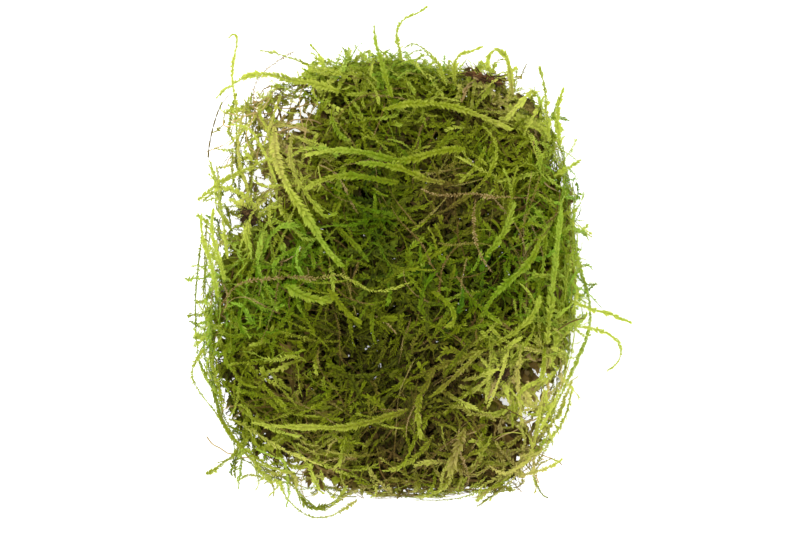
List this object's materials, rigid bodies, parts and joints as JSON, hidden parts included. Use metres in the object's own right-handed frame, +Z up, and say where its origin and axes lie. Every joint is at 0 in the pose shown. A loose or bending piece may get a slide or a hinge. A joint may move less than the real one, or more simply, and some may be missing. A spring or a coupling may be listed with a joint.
{
  "type": "moss clump",
  "caption": "Flat-bottomed rounded-oblong clump of tangled aquarium moss, with loose feathery shoots, dead stems and bits of litter on it, to lie on a surface.",
  "frame": {"origin": "middle of the flat face that the clump rests on", "axes": "+Z up out of the resting face, +Y along the clump's longer side, +X to its right seen from above"},
  "size_m": [0.1083, 0.1256, 0.0304],
  "materials": {
    "matted_moss": "matted, moist moss shoots",
    "live_moss": "fine translucent leaves, moist",
    "dead_stem": "dull dry fibre",
    "roots": "dark wiry fibre",
    "bark": "splintered, rough",
    "leaf_litter": "dead leaf, dull",
    "peat": "crumbly, rough"
  },
  "bodies": {
    "root": {"bark_flake": "bark", "dead_leaf": "leaf_litter", "dead_stem_centre": "dead_stem", "dead_stem_long": "dead_stem", "dead_stem_right": "dead_stem", "dead_stem_top_left": "dead_stem", "hair_root_left": "roots", "hair_root_low": "roots", "hair_root_right": "roots", "moss_mat": "matted_moss", "peat_crumb": "peat", "root_knot": "roots", "shoot_arch": "live_moss", "shoot_centre_arc": "live_moss", "shoot_centre_arc_mate": "live_moss", "shoot_centre_bow": "live_moss", "shoot_centre_left_slant": "live_moss", "shoot_centre_low_arc": "live_moss", "shoot_centre_tip": "live_moss", "shoot_left_bundle": "live_moss", "shoot_left_bundle_mate": "live_moss", "shoot_left_elbow": "live_moss", "shoot_left_fan": "live_moss", "shoot_left_short": "live_moss", "shoot_left_star": "live_moss", "shoot_left_tall": "live_moss", "shoot_left_tall_mate": "live_moss", "shoot_left_upright": "live_moss", "shoot_low_fork": "live_moss", "shoot_low_fork_mate": "live_moss", "shoot_low_leafy": "live_moss", "shoot_low_left_trail": "live_moss", "shoot_low_long": "live_moss", "shoot_low_right_tip": "live_moss", "shoot_low_right_tip_mate": "live_moss", "shoot_low_spike": "live_moss", "shoot_right_broad": "live_moss", "shoot_right_hook": "live_moss", "shoot_right_low_arc": "live_moss", "shoot_right_low_slant": "live_moss", "shoot_right_slant": "live_moss", "shoot_right_spur": "live_moss", "shoot_right_stray": "live_moss", "shoot_right_tall": "live_moss", "shoot_right_tall_mate": "live_moss", "shoot_right_upright": "live_moss", "shoot_top_curl": "live_moss", "shoot_top_left": "live_moss", "shoot_top_left_hook": "live_moss", "shoot_top_left_upper": "live_moss", "shoot_top_long_arc": "live_moss", "shoot_top_loop": "live_moss", "shoot_top_right_branch": "live_moss", "shoot_top_upright": "live_moss"}
  },
  "joints": []
}
